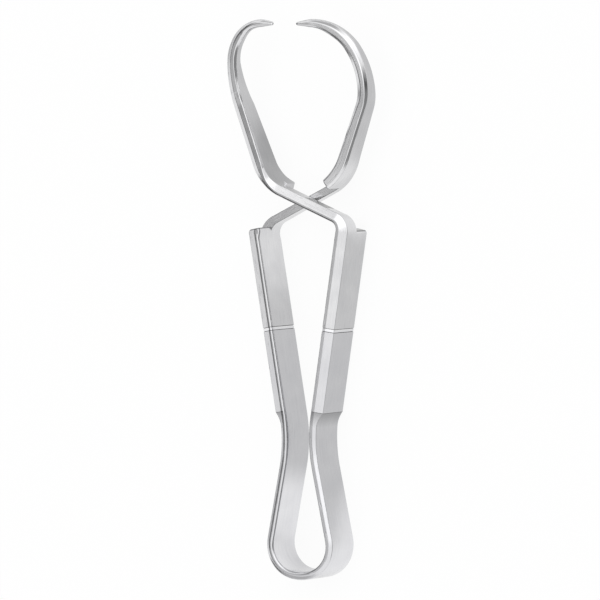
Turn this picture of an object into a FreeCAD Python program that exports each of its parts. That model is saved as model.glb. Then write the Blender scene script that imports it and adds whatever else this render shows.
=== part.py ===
import FreeCAD, Part
import math
import os
import Sketcher
from FreeCAD import Placement, Rotation, Vector

# Cross-action towel clamp, in millimetres, lying on one long side.
# +Y runs from the spring bow to the jaw points, +X goes across the two arms
# and +Z is the width of the strip. The strip stands on its edge at Z = 0.
# The origin is the middle of the overall length and width, on the ground.
# A height in these names is measured along Y from the bottom of the bow.

# Driving dimensions: name, value, meaning.
SIZES = [
    ("overall_length", 90.0, "bottom of the bow to the crown of the jaws"),
    ("strip_width", 7.0, "width of the flat bar, along Z"),
    ("band_thickness", 1.15, "spring strip in the bow"),
    ("bow_radius", 6.05, "outside radius of the bow"),
    ("waist_height", 22.1, "narrowest place between the legs"),
    ("waist_gap", 4.1, "clear gap between the legs there"),
    ("waist_radius", 23.0, "bend of each leg at the waist, inner face"),
    ("grip_angle", 9.43, "lean of each grip away from the Y axis, degrees"),
    ("grip_thickness", 2.05, "thickness of the grips"),
    ("step_length", 1.8, "end of the waist bend to the ridge of the step"),
    ("heel_length", 13.1, "ridge of the step to the ring groove"),
    ("front_length", 16.2, "ring groove to the shoulder"),
    ("left_shoulder_rise", 1.95, "left shoulder above the start of its neck's bend"),
    ("right_shoulder_rise", 0.24, "right shoulder above the start of its neck's bend"),
    ("shoulder_corner", 0.55, "rounding of the shoulder's outer corner"),
    ("long_bevel_across", 1.38, "bevel on the outer long edges, through the thickness"),
    ("long_bevel_deep", 0.42, "the same bevel, along the width"),
    ("edge_chamfer", 0.12, "chamfer on the inner long edges"),
    ("groove_half", 0.33, "half the width of the ring groove"),
    ("groove_deep", 0.14, "depth of the ring groove"),
    ("neck_clearance", 0.15, "gap between the two necks where they cross"),
    ("left_bend_radius", 3.3, "bend from the left grip into its neck, centre line"),
    ("right_bend_radius", 2.0, "bend from the right grip into its neck, centre line"),
    ("left_neck_rise", 25.7, "angle of the left grip's neck above the X axis, degrees"),
    ("right_neck_rise", 22.4, "angle of the right grip's neck above the X axis, degrees"),
    ("neck_thickness", 1.65, "thickness of the neck"),
    ("neck_bevel_across", 1.1, "bevel on the upper edge of the neck"),
    ("neck_relief", 0.3, "the neck is this much thinner along the middle plane"),
    ("root_bend_radius", 5.0, "bend from the neck into the jaw, centre line"),
    ("lobe_length", 1.3, "the jaw's free half reaches this far below the bend's corner"),
    ("lobe_corner", 0.9, "rounding of the lobe's corner"),
    ("blade_lean", 20.5, "lean of the straight part of the jaw, degrees"),
    ("jaw_half_width", 12.15, "jaw at its widest, centre line to the Y axis"),
    ("left_hip_radius", 20.0, "left jaw, gentle bend below its widest place"),
    ("left_hook_radius", 5.8, "left jaw, quarter turn to the crown"),
    ("left_tip_length", 2.45, "left jaw, crown to the point"),
    ("right_hip_radius", 6.5, "right jaw, gentle bend below its widest place"),
    ("right_hook_radius", 9.4, "right jaw, quarter turn to the crown"),
    ("right_tip_length", 2.8, "right jaw, crown to the point"),
    ("tip_turn", 4.0, "further turn from the crown to the point, degrees"),
    ("root_thickness", 1.8, "jaw thickness up to its widest place"),
    ("crown_thickness", 1.2, "jaw thickness at the crown"),
    ("tip_thickness", 0.14, "jaw thickness at the point"),
    ("lobe_low", 0.05, "lower edge of the jaw above the ground, at the end of the lobe"),
    ("root_low", 0.6, "the same where the jaw's bend ends"),
    ("blade_low", 3.0, "lower edge at the end of the straight part"),
    ("left_hip_low", 4.9, "lower edge at the widest place of the left jaw"),
    ("right_hip_low", 3.5, "lower edge at the widest place of the right jaw"),
    ("crown_low", 5.6, "lower edge at the crown"),
    ("root_drop", 0.1, "upper edge below the strip's upper face, at the lobe"),
    ("blade_drop", 0.65, "the same at the end of the straight part"),
    ("crown_drop", 0.4, "the same at the crown"),
    ("tip_drop", 0.5, "the same at the point"),
    ("tip_width", 0.16, "width of the point, along Z"),
    ("outer_bevel_share", 0.45, "bevel outside the jaw, share of its thickness"),
    ("inner_bevel_share", 0.24, "bevel inside the jaw, share of its thickness"),
    ("jaw_bevel_deep", 0.4, "both bevels along the width, at full thickness"),
]

HERE = "parts"
os.makedirs(HERE, exist_ok=True)
doc = FreeCAD.newDocument("towel_clamp")
sheet = doc.addObject("Spreadsheet::Sheet", "Sizes")
for row, (name, value, meaning) in enumerate(SIZES, start=1):
    sheet.set(f"A{row}", name)
    sheet.set(f"B{row}", str(value))
    sheet.set(f"C{row}", meaning)
    sheet.setAlias(f"B{row}", name)
doc.recompute()


def size(name):
    """Value of one cell of the sheet."""
    return float(sheet.get(name))


def cell(name):
    """The same cell, as it is written in an expression."""
    return f"Sizes.{name}"


# Expressions for the places that several pieces share.
HALF_LENGTH = f"{cell('overall_length')} / 2"
BOW_Y = f"({cell('bow_radius')} - {HALF_LENGTH})"
WAIST_Y = f"({cell('waist_height')} - {HALF_LENGTH})"
BOW_INSIDE = f"({cell('bow_radius')} - {cell('band_thickness')})"
WAIST_OUTSIDE = f"({cell('waist_radius')} - {cell('band_thickness')})"
WAIST_CENTRE = f"({cell('waist_gap')} / 2 + {cell('waist_radius')})"
RISE = f"({WAIST_Y} - {BOW_Y})"
# Each leg is the straight line that touches the bow and the bend at the waist.
LEG_LEAN = (
    f"(atan2({RISE}; {WAIST_CENTRE})"
    f" - acos(({BOW_INSIDE} + {cell('waist_radius')}) / sqrt({RISE}^2 + {WAIST_CENTRE}^2)))"
)
LEAN = cell("grip_angle")
# Where the bend at the waist ends and the straight inner face of a grip starts.
GRIP_X = f"({WAIST_CENTRE} - {cell('waist_radius')} * cos({LEAN}))"
GRIP_Y = f"({WAIST_Y} + {cell('waist_radius')} * sin({LEAN}))"


def along_grip(distance, out="0"):
    """Point at a distance along a grip's inner face, and out from it through the bar."""
    x = f"{GRIP_X} + ({distance}) * sin({LEAN}) + ({out}) * cos({LEAN})"
    y = f"{GRIP_Y} + ({distance}) * cos({LEAN}) - ({out}) * sin({LEAN})"
    return x, y


def origin_plane(body, role):
    """One of the body's own origin planes."""
    return next(item for item in body.Origin.OriginFeatures if item.Role == role)


def value_of(expression):
    """Number that an expression gives now, for the first drawing of a sketch."""
    return float(sheet.evalExpression(expression))


def outline_sketch(body, name, role, corners, arcs):
    """Closed outline through corners given as pairs of expressions.

    arcs gives, for the side that starts at a corner, the expressions of its centre
    and whether it turns counterclockwise. Every other side is straight.
    """
    sketch = body.newObject("Sketcher::SketchObject", name)
    sketch.AttachmentSupport = [(origin_plane(body, role), "")]
    sketch.MapMode = "FlatFace"
    points = [Vector(value_of(x), value_of(y), 0) for x, y in corners]
    ends = []
    for index, start in enumerate(points):
        finish = points[(index + 1) % len(points)]
        if index in arcs:
            (centre_x, centre_y), counterclockwise = arcs[index]
            centre = Vector(value_of(centre_x), value_of(centre_y), 0)
            radius = (start - centre).Length
            first, last = (start, finish) if counterclockwise else (finish, start)
            angles = [math.atan2(p.y - centre.y, p.x - centre.x) for p in (first, last)]
            circle = Part.Circle(centre, Vector(0, 0, 1), radius)
            side = sketch.addGeometry(Part.ArcOfCircle(circle, angles[0], angles[1]), False)
            ends.append((1, 2) if counterclockwise else (2, 1))
        else:
            side = sketch.addGeometry(Part.LineSegment(start, finish), False)
            ends.append((1, 2))
    for index in range(len(points)):
        after = (index + 1) % len(points)
        sketch.addConstraint(
            Sketcher.Constraint("Coincident", index, ends[index][1], after, ends[after][0])
        )
    for index, (x, y) in enumerate(corners):
        for kind, number, expression in (
            ("DistanceX", points[index].x, x),
            ("DistanceY", points[index].y, y),
        ):
            constraint = sketch.addConstraint(
                Sketcher.Constraint(kind, -1, 1, index, ends[index][0], number)
            )
            sketch.setExpression(f"Constraints[{constraint}]", expression)
    for index, ((centre_x, centre_y), counterclockwise) in arcs.items():
        number = value_of(centre_y)
        constraint = sketch.addConstraint(
            Sketcher.Constraint("DistanceY", -1, 1, index, 3, number)
        )
        sketch.setExpression(f"Constraints[{constraint}]", centre_y)
    return sketch


def pad(body, name, sketch, length, reverse=False):
    """Pad of a sketch by an expression."""
    feature = body.newObject("PartDesign::Pad", name)
    feature.Profile = sketch
    feature.Reversed = reverse
    feature.setExpression("Length", length)
    sketch.Visibility = False
    return feature


def mirrored(expression, side):
    """X of a point on the right (side 1) or on the left (side -1)."""
    return f"{side} * ({expression})"


def spring_bow():
    """Flat spring strip bent to a teardrop, with its ends at the waist."""
    body = doc.addObject("PartDesign::Body", "spring_bow")
    lean = LEG_LEAN

    def touch_bow(radius):
        return f"{radius} * cos({lean})", f"{BOW_Y} + {radius} * sin({lean})"

    def touch_waist(radius):
        x = f"{WAIST_CENTRE} - {radius} * cos({lean})"
        return x, f"{WAIST_Y} - {radius} * sin({lean})"

    inner = f"{cell('waist_gap')} / 2"
    right = [
        touch_bow(cell("bow_radius")),
        touch_waist(WAIST_OUTSIDE),
        (f"{inner} + {cell('band_thickness')}", WAIST_Y),
        (inner, WAIST_Y),
        touch_waist(cell("waist_radius")),
        touch_bow(BOW_INSIDE),
    ]
    left = [(mirrored(x, -1), y) for x, y in reversed(right)]
    bow = ("0", BOW_Y)
    right_waist = (WAIST_CENTRE, WAIST_Y)
    left_waist = (mirrored(WAIST_CENTRE, -1), WAIST_Y)
    arcs = {
        1: (right_waist, False),
        3: (right_waist, True),
        5: (bow, False),
        7: (left_waist, True),
        9: (left_waist, False),
        11: (bow, True),
    }
    sketch = outline_sketch(body, "bow_outline", "XY_Plane", right + left, arcs)
    pad(body, "bow_strip", sketch, cell("strip_width"))
    return body


def bar_section(inset="0"):
    """Section of a grip, out from its inner face and up its width."""
    thick = cell("grip_thickness")
    width = cell("strip_width")
    across = cell("long_bevel_across")
    deep = cell("long_bevel_deep")
    chamfer = cell("edge_chamfer")
    return [
        (f"{chamfer} + {inset}", f"{inset}"),
        (f"{thick} - {across}", f"{inset}"),
        (f"{thick} - {inset}", f"{deep} + {inset}"),
        (f"{thick} - {inset}", f"{width} - {deep} - {inset}"),
        (f"{thick} - {across}", f"{width} - {inset}"),
        (f"{chamfer} + {inset}", f"{width} - {inset}"),
        (f"{inset}", f"{width} - {chamfer} - {inset}"),
        (f"{inset}", f"{chamfer} + {inset}"),
    ]


def half_section(side):
    """Section of the half of a grip that ends at the shoulder."""
    thick = cell("grip_thickness")
    width = cell("strip_width")
    chamfer = cell("edge_chamfer")
    cut = f"({width} - {cell('neck_clearance')}) / 2"
    upper = [
        ("0", cut),
        (thick, cut),
        (thick, f"{width} - {cell('long_bevel_deep')}"),
        (f"{thick} - {cell('long_bevel_across')}", width),
        (chamfer, width),
        ("0", f"{width} - {chamfer}"),
    ]
    if side < 0:
        return upper
    return [(x, f"{width} - ({y})") for x, y in upper]


def grip_bar(body, name, side, start, length, section):
    """Length of grip bar that starts at a distance along the inner face."""
    corners = [(mirrored(x, side), y) for x, y in section]
    sketch = outline_sketch(body, f"{name}_section", "XZ_Plane", corners, {})
    x, y = along_grip(start)
    sketch.AttachmentOffset = Placement(
        Vector(value_of(mirrored(x, side)), 0, -value_of(y)),
        Rotation(Vector(0, -side, 0), size("grip_angle")),
    )
    sketch.setExpression("AttachmentOffset.Base.x", mirrored(x, side))
    sketch.setExpression("AttachmentOffset.Base.z", f"-({y})")
    sketch.setExpression("AttachmentOffset.Rotation.Angle", LEAN)
    return pad(body, name, sketch, length, reverse=True)


def heel(name, side):
    """Thick end of the spring: waist bend, step, rear half of the grip, half the groove."""
    body = doc.addObject("PartDesign::Body", name)
    inner = f"{cell('waist_gap')} / 2"
    right = [
        (inner, WAIST_Y),
        (f"{inner} + {cell('band_thickness')}", WAIST_Y),
        along_grip(cell("step_length"), cell("grip_thickness")),
        along_grip(cell("step_length")),
        (GRIP_X, GRIP_Y),
    ]
    # The ramp of the step leaves the strip tangentially and climbs to the ridge.
    foot_x = right[1][0]
    ridge_x, ridge_y = right[2]
    climb = f"({ridge_x} - ({foot_x}))"
    ramp_radius = f"(({climb}^2 + ({ridge_y} - {WAIST_Y})^2) / (2 * {climb}))"
    ramp_centre = (mirrored(f"{foot_x} + {ramp_radius}", side), WAIST_Y)
    waist_centre = (mirrored(WAIST_CENTRE, side), WAIST_Y)
    corners = [(mirrored(x, side), y) for x, y in right]
    arcs = {1: (ramp_centre, side < 0), 4: (waist_centre, side > 0)}
    sketch = outline_sketch(body, f"{name}_root", "XY_Plane", corners, arcs)
    pad(body, f"{name}_ramp", sketch, cell("strip_width"))
    bar_length = f"{cell('heel_length')} - {cell('groove_half')}"
    grip_bar(body, f"{name}_bar", side, cell("step_length"), bar_length, bar_section())
    groove_start = f"{cell('step_length')} + {bar_length}"
    sunk = bar_section(cell("groove_deep"))
    grip_bar(body, f"{name}_groove", side, groove_start, cell("groove_half"), sunk)
    return body


def shoulder_height(side):
    """Distance along the grip to the shoulder, and to the start of the neck's bend."""
    top = f"{cell('step_length')} + {cell('heel_length')} + {cell('front_length')}"
    rise = cell("left_shoulder_rise") if side < 0 else cell("right_shoulder_rise")
    return top, f"{top} - {rise}"


def front_bar(name, side):
    """Front half of a grip, from the ring groove to the shoulder."""
    body = doc.addObject("PartDesign::Body", name)
    joint = f"{cell('step_length')} + {cell('heel_length')}"
    groove_half = cell("groove_half")
    sunk = bar_section(cell("groove_deep"))
    grip_bar(body, f"{name}_groove", side, joint, groove_half, sunk)
    bar_start = f"{joint} + {groove_half}"
    top, neck_start = shoulder_height(side)
    bar_length = f"{neck_start} - ({bar_start})"
    grip_bar(body, f"{name}_bar", side, bar_start, bar_length, bar_section())
    rise = f"{top} - ({neck_start})"
    grip_bar(body, f"{name}_shoulder", side, neck_start, rise, half_section(side))
    # The outer corner of the shoulder is rounded, on its own half of the width only.
    corner = cell("shoulder_corner")
    thick = cell("grip_thickness")
    points = [
        along_grip(f"{top} - {corner}", thick),
        along_grip(top, thick),
        along_grip(top, f"{thick} - {corner}"),
    ]
    centre_x, centre_y = along_grip(f"{top} - {corner}", f"{thick} - {corner}")
    rounding = outline_sketch(
        body,
        f"{name}_corner_outline",
        "XY_Plane",
        [(mirrored(x, side), y) for x, y in points],
        {2: ((mirrored(centre_x, side), centre_y), side < 0)},
    )
    half_width = f"({cell('strip_width')} + {cell('neck_clearance')}) / 2"
    level = half_width if side > 0 else cell("strip_width")
    rounding.AttachmentOffset = Placement(Vector(0, 0, value_of(level)), Rotation())
    rounding.setExpression("AttachmentOffset.Base.z", level)
    cut = body.newObject("PartDesign::Pocket", f"{name}_corner")
    cut.Profile = rounding
    cut.setExpression("Length", half_width)
    rounding.Visibility = False
    return body


class Route:
    """Centre line made of straight runs and arcs, with its heading in degrees."""

    def __init__(self, start, heading):
        self.point = start
        self.heading = heading
        self.length = 0.0

    def stop(self):
        return self.point, self.heading, self.length

    def straight(self, length):
        angle = math.radians(self.heading)
        self.point = self.point + Vector(math.cos(angle), math.sin(angle), 0) * length
        self.length += length
        return [self.stop()]

    def bend(self, radius, turn, steps):
        """Arc to the left for a positive turn, given as equal steps."""
        stops = []
        for _ in range(steps):
            chord = 2 * radius * math.sin(math.radians(abs(turn)) / steps / 2)
            middle = math.radians(self.heading + turn / steps / 2)
            self.point = self.point + Vector(math.cos(middle), math.sin(middle), 0) * chord
            self.heading += turn / steps
            self.length += radius * math.radians(abs(turn)) / steps
            stops.append(self.stop())
        return stops


def blend_between(marks, distance):
    """Value at a distance, straight between the marks (distance, value)."""
    for (start, low), (finish, high) in zip(marks, marks[1:]):
        if distance <= finish:
            return low + (high - low) * (distance - start) / (finish - start)
    return marks[-1][1]


def section_wire(stop, corners):
    """Closed wire across the route, its corners given to the right of travel and up."""
    point, heading, _ = stop
    angle = math.radians(heading)
    right = Vector(math.sin(angle), -math.cos(angle), 0)
    vertices = [point + right * across + Vector(0, 0, up) for across, up in corners]
    return Part.makePolygon(vertices + vertices[:1])


def neck_corners(thick, low, high, bevel, deep, relief, outer_bevel, outer_deep):
    """Section of a neck: grip's inner face on the left of travel, bevelled face on the right."""
    half = thick / 2
    return [
        (-half, low),
        (-half, high - outer_deep),
        (-half + outer_bevel, high),
        (half - bevel, high),
        (half, high - deep),
        (half - relief, low),
    ]


def jaw_corners(thick, low, high):
    """Section of a jaw with a bevel on each long edge; its outside is left of travel."""
    half = thick / 2
    outer = size("outer_bevel_share") * thick
    inner = size("inner_bevel_share") * thick
    deep = min(size("jaw_bevel_deep") * thick / size("root_thickness"), (high - low) / 3)
    return [
        (-half, low + deep),
        (-half, high - deep),
        (-half + outer, high),
        (half - inner, high),
        (half, high - deep),
        (half, low + deep),
        (half - inner, low),
        (-half + outer, low),
    ]


def crossing_point(point, heading, other, other_heading):
    """Where two lines meet in the plan."""
    first = Vector(math.cos(math.radians(heading)), math.sin(math.radians(heading)), 0)
    second = Vector(math.cos(math.radians(other_heading)), math.sin(math.radians(other_heading)), 0)
    reach = (other - point).cross(second).z / first.cross(second).z
    return point + first * reach


def hip_point(hip_radius, hook_radius):
    """End of the straight part of the left jaw, where its gentle bend starts."""
    lean = math.radians(size("blade_lean"))
    crown_y = size("overall_length") / 2 - size("crown_thickness") / 2
    x = -size("jaw_half_width") + hip_radius * (1 - math.cos(lean))
    y = crown_y - hook_radius - hip_radius * math.sin(lean)
    return Vector(x, y, 0)


def jaw_route(hip_radius, hook_radius, tip_length, start):
    """Stops of the jaw on the left, from where its bend ends to its point, and the marks."""
    lean = size("blade_lean")
    route = Route(start, 90 + lean)
    stops = [route.stop()]
    blade_length = (hip_point(hip_radius, hook_radius) - start).Length
    for _ in range(3):
        stops += route.straight(blade_length / 3)
    blade_end = route.length
    stops += route.bend(hip_radius, -lean, 3)
    hip_end = route.length
    stops += route.bend(hook_radius, -90, 8)
    crown = route.length
    turn = math.radians(size("tip_turn"))
    stops += route.bend(tip_length / turn, -size("tip_turn"), 2)
    return stops, (0, blade_end, hip_end, crown, route.length)


def lobe_corners(thick, low, high, side):
    """Half of a jaw's section, on the side of the width that its neck leaves free."""
    half = thick / 2
    outer = size("outer_bevel_share") * thick
    inner = size("inner_bevel_share") * thick
    deep = size("jaw_bevel_deep")
    if side > 0:
        cut = (size("strip_width") + size("neck_clearance")) / 2
        return [(-half, cut), (half, cut), (half, low + deep), (half - inner, low),
                (-half + outer, low), (-half, low + deep)]
    cut = (size("strip_width") - size("neck_clearance")) / 2
    return [(-half, cut), (half, cut), (half, high - deep), (half - inner, high),
            (-half + outer, high), (-half, high - deep)]


def neck_and_jaw(name, side, jaw):
    """Half-width neck, full-width jaw and the lobe at its root, for one arm.

    It is worked out for the arm whose grip is on the right, with its neck in the
    upper half and its jaw on the left. The other arm turns the neck about the Y axis
    and mirrors the jaw, so that both points lie at the same height.
    """
    width = size("strip_width")
    hip_radius = size(f"{jaw}_hip_radius")
    hook_radius = size(f"{jaw}_hook_radius")
    lean = size("grip_angle")
    neck_start = shoulder_height(side)[1]
    x, y = along_grip(neck_start, f"{cell('grip_thickness')} / 2")
    neck = Route(Vector(value_of(x), value_of(y), 0), 90 - lean)
    arm_side = "left" if side < 0 else "right"
    neck_heading = 180 - size(f"{arm_side}_neck_rise")
    stops = [neck.stop()]
    stops += neck.bend(size(f"{arm_side}_bend_radius"), neck_heading - (90 - lean), 5)
    bend_end = neck.length
    corner = crossing_point(
        neck.point, neck_heading, hip_point(hip_radius, hook_radius), 90 + size("blade_lean")
    )
    turn = 90 + size("blade_lean") - neck_heading
    tangent = size("root_bend_radius") * math.tan(math.radians(abs(turn)) / 2)
    run = (corner - neck.point).Length - tangent
    for _ in range(3):
        stops += neck.straight(run / 3)
    run_end = neck.length
    stops += neck.bend(size("root_bend_radius"), turn, 5)

    jaw_stops, marks = jaw_route(hip_radius, hook_radius, size(f"{jaw}_tip_length"), neck.point)
    base, blade_end, hip_end, crown, tip = marks
    root = size("root_thickness")
    tip_high = width - size("tip_drop")
    thick_marks = [(base, root), (hip_end, root), (crown, size("crown_thickness")),
                   (tip, size("tip_thickness"))]
    high_marks = [(base, width - size("root_drop")), (blade_end, width - size("blade_drop")),
                  (hip_end, width - size("blade_drop")), (crown, width - size("crown_drop")),
                  (tip, tip_high)]
    low_marks = [(base, size("root_low")), (blade_end, size("blade_low")),
                 (hip_end, size(f"{jaw}_hip_low")), (crown, size("crown_low")),
                 (tip, tip_high - size("tip_width"))]
    jaw_wires = []
    for stop in jaw_stops:
        thick, low, high = [
            blend_between(law, stop[2]) for law in (thick_marks, low_marks, high_marks)
        ]
        jaw_wires.append(section_wire(stop, jaw_corners(thick, low, high)))

    # The lobe runs straight back from the jaw's root, and its corner is rounded in steps.
    lobe_length = tangent + size("lobe_length")
    rounding = size("lobe_corner")
    lobe_wires = []
    for share in (0, 0.07, 0.3, 1):
        back = lobe_length - share * rounding
        lost = rounding * (1 - math.sqrt(1 - (1 - share) ** 2))
        lobe = Route(neck.point, 90 + size("blade_lean"))
        lobe.straight(-back)
        low = size("root_low") + (size("lobe_low") - size("root_low")) * back / lobe_length
        lobe_section = lobe_corners(root, low + lost, width - size("root_drop") - lost, side)
        lobe_wires.append(section_wire(lobe.stop(), lobe_section))
    full_lobe = lobe_corners(root, size("root_low"), width - size("root_drop"), side)
    lobe_wires.append(section_wire(jaw_stops[0], full_lobe))

    # The neck ends in the same section as the jaw begins with, on its half of the width.
    thin = size("neck_thickness")
    chamfer = size("edge_chamfer")
    relief = size("neck_relief")
    neck_bevel = size("neck_bevel_across")
    end = neck.length
    end_high = width - size("root_drop") if side > 0 else width - size("root_low")
    laws = {
        "thick": [(0, size("grip_thickness")), (bend_end, thin), (run_end, thin), (end, root)],
        "high": [(0, width), (run_end, width), (end, end_high)],
        "bevel": [(0, size("long_bevel_across")), (bend_end, neck_bevel), (run_end, neck_bevel),
                  (end, size("inner_bevel_share") * root)],
        "deep": [(0, size("long_bevel_deep")), (end, size("jaw_bevel_deep"))],
        "relief": [(0, 0), (bend_end, relief), (run_end, relief), (end, 0)],
        "outer_bevel": [(0, chamfer), (run_end, chamfer),
                        (end, size("outer_bevel_share") * root)],
        "outer_deep": [(0, chamfer), (run_end, chamfer), (end, size("jaw_bevel_deep"))],
    }
    neck_low = (width + size("neck_clearance")) / 2
    neck_wires = []
    for stop in stops:
        now = {law: blend_between(law_marks, stop[2]) for law, law_marks in laws.items()}
        neck_wires.append(section_wire(stop, neck_corners(low=neck_low, **now)))

    neck_solid = Part.makeLoft(neck_wires, True, True)
    blade = [Part.makeLoft(wires, True, True) for wires in (jaw_wires, lobe_wires)]
    if side < 0:
        neck_solid.rotate(Vector(0, 0, width / 2), Vector(0, 1, 0), 180)
        blade = [solid.mirror(Vector(0, 0, 0), Vector(1, 0, 0)) for solid in blade]
    feature = doc.addObject("Part::Feature", name)
    feature.Shape = neck_solid.multiFuse(blade)
    return feature


def arm(name, side, jaw):
    """Forged front part: half a grip, the neck that crosses over, and the jaw."""
    bar = front_bar(f"{name}_grip", side)
    blade = neck_and_jaw(f"{name}_blade", side, jaw)
    fused = doc.addObject("Part::MultiFuse", name)
    fused.Shapes = [bar, blade]
    fused.Refine = False
    return fused


nodes = {
    "spring_bow": spring_bow(),
    "left_heel": heel("left_heel", -1),
    "right_heel": heel("right_heel", 1),
    "left_arm": arm("left_arm", -1, "right"),
    "right_arm": arm("right_arm", 1, "left"),
}
for name, node in nodes.items():
    node.Label = name
doc.recompute()

for item in doc.Objects:
    if "Invalid" in item.State or "Error" in item.State:
        raise RuntimeError(f"{item.Name} failed: {item.State}")
for name, node in nodes.items():
    shape = node.Shape
    if shape.isNull() or not shape.isValid() or len(shape.Solids) != 1:
        raise RuntimeError(f"{name} is not one valid solid")
    shape.exportStep(f"{HERE}/{name}.step")
    box = shape.BoundBox
    print(
        f"{name}: {shape.Volume:.2f} mm3,"
        f" x {box.XMin:.2f} to {box.XMax:.2f}, y {box.YMin:.2f} to {box.YMax:.2f},"
        f" z {box.ZMin:.2f} to {box.ZMax:.2f}"
    )
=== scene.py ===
import math
import bmesh
import bpy
from mathutils import Matrix, Vector


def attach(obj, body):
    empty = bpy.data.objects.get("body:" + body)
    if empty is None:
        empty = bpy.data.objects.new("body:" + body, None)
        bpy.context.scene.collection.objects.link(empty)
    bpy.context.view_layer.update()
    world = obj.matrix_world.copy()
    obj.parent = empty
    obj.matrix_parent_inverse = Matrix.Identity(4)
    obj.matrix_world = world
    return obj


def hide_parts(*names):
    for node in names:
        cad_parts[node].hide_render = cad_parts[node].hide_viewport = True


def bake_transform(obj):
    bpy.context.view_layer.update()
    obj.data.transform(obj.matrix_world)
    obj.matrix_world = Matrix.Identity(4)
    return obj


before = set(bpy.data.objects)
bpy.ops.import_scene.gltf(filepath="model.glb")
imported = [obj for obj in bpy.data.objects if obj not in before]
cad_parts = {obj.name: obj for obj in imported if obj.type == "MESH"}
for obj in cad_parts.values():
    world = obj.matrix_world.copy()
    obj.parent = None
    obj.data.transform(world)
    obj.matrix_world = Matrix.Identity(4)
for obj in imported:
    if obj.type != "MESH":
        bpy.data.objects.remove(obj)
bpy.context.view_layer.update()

# Cross-action towel clamp. Sizes are in millimetres and degrees until the meshes are
# made: X across the two arms, Y along the clamp towards its points, Z the strip's width.
METRE = 0.001

# Strip and overall size.
LENGTH = 90.0
WIDTH = 7.0
BAND = 1.25
GRIP_THICK = 2.05
CROSS_GAP = 0.15

# Spring: a bow that is a little flat at its bottom, two legs, and a bend at the waist.
BOW_BOTTOM_RADIUS = 8.0
BOW_BOTTOM_TURN = 15.0
BOW_SIDE_RADIUS = 5.5
LEG_LEAN = 11.6
WAIST_HEIGHT = 22.6
WAIST_RADIUS = 24.0
GRIP_LEAN = 9.43
RIDGE_HEIGHT = 27.2
RAMP_RADIUS = 4.6
GROOVE_HEIGHT = 40.4
GROOVE_WIDTH = 0.62
GROOVE_DEEP = 0.13
GROOVE_BAND_DEEP = 0.04
GROOVE_CUT = 0.08
SHOULDER_HEIGHT = 56.5

# Section of the strip: the inner edges are broken, the outer ones carry a long bevel. The
# right half of the clamp has crisper edges than the left.
INNER_BREAKS = {-1: 0.2, 1: 0.06}
EDGE_ROUNDS = {-1: 0.15, 1: 0.06}
EDGE_FLAT = 0.67
LONG_BEVEL_DEEP = 0.42
EDGE_ROUND = 0.07
CORNER_STEPS = 4
# A rounding takes at most this share of the shorter side next to it.
CORNER_REACH = 0.45
SHORTEST = 1e-6

# Painted light, as shares of the steel's colour: painted shade in the groove's cuts, on a
# shoulder's end, at the edges of the far neck's cut face and on the near neck's side where it
# crosses, a painted highlight on the groove's band, and painted shade from the ridge down in
# the scoop of the step.
CUT_PAINTED_SHADE = 0.18
END_PAINTED_SHADE = 0.3
NECK_EDGE_PAINTED_SHADE = 0.4
NECK_SIDE_PAINTED_SHADE = 0.12
BAND_PAINTED_HIGHLIGHT = 1.3
SCOOP_PAINTED_SHADE = [(0.0, 0.25), (0.05, 0.55), (1.0, 1.0)]

# Necks and jaws, for each side.
SHOULDER_ROUND = 0.6
END_ROUND = 0.12
NECK_THICK = 1.62
NECK_FREE_BEVEL = 0.3
NECK_RELIEF = 0.3
FOLLOW = 0.65
JAW_LEAN = 20.5
TIP_TURN = 4.0
TIP_THICK = 0.5
TIP_DEEP = 0.45
TIP_ROUND = 0.2
TIP_DROP = 0.05
JAW_HALF = 12.15
JAW_BEVEL_DEEP = 0.36
# A jaw's bevel takes at most this share of its height, and its edges get softer from the
# hip to the tip.
BEVEL_SHARE = 0.3
HIP_SOFTER = 1.2
TIP_SOFTER = 3.0
LEVEL_MARGIN = 0.06
# Length over which a cut face's rounding grows to its full radius, the length next to it
# without other rows, and the length over which the relief of the cut face ends.
BLEND = 0.25
BLEND_FREE = 0.3
RELIEF_FADE = 1.0

# Distances between rows of faces, and angles of the rows round an end.
BEND_ROW = 0.25
STEP_ROW = 0.2
STRAIGHT_ROW = 1.0
RIDGE_ROWS = (0.16, 0.08, 0.02)
GROOVE_ROW = 0.06
CUT_ROW = 0.02
NEAREST_ROW = 0.05
END_ANGLES = range(0, 91, 6)
TIP_ANGLES = range(0, 91, 30)

# Shading: an edge is sharp above the first angle, or above the second one where the face
# on one side is this many times larger. Points closer than MERGE metres are one point.
SHARP_ANGLE = math.radians(32)
SLIGHT_ANGLE = math.radians(2)
FLAT_RATIO = 3.0
MERGE = 4e-7

# Each arm's shoulder height and its rise above the neck's start, bend radius and lean of
# the neck, bend radius at the jaw's root and thickness in its middle, how far the free
# half's lobe runs back from it and how round it ends, the neck's bevel, its lower edge at
# both ends, and the stretch in X where its side gets painted shade.
ARMS = {
    "right": {"side": 1, "shoulder": 56.4, "rise": 0.4, "bend": 2.3, "neck": 22.4, "root": 7.0,
              "root_thick": 1.5, "lobe": 5.1, "lobe_round": 0.9, "neck_bevel": 1.08,
              "neck_low": (0.0, 0.0), "painted_shade_side": (0.9, 4.7)},
    "left": {"side": -1, "shoulder": 56.5, "rise": 1.95, "bend": 3.3, "neck": 25.7, "root": 9.0,
             "root_thick": 1.85, "lobe": 5.6, "lobe_round": 0.3, "neck_bevel": 0.3,
             "neck_low": (0.7, 1.4), "painted_shade_side": None},
}
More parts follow.
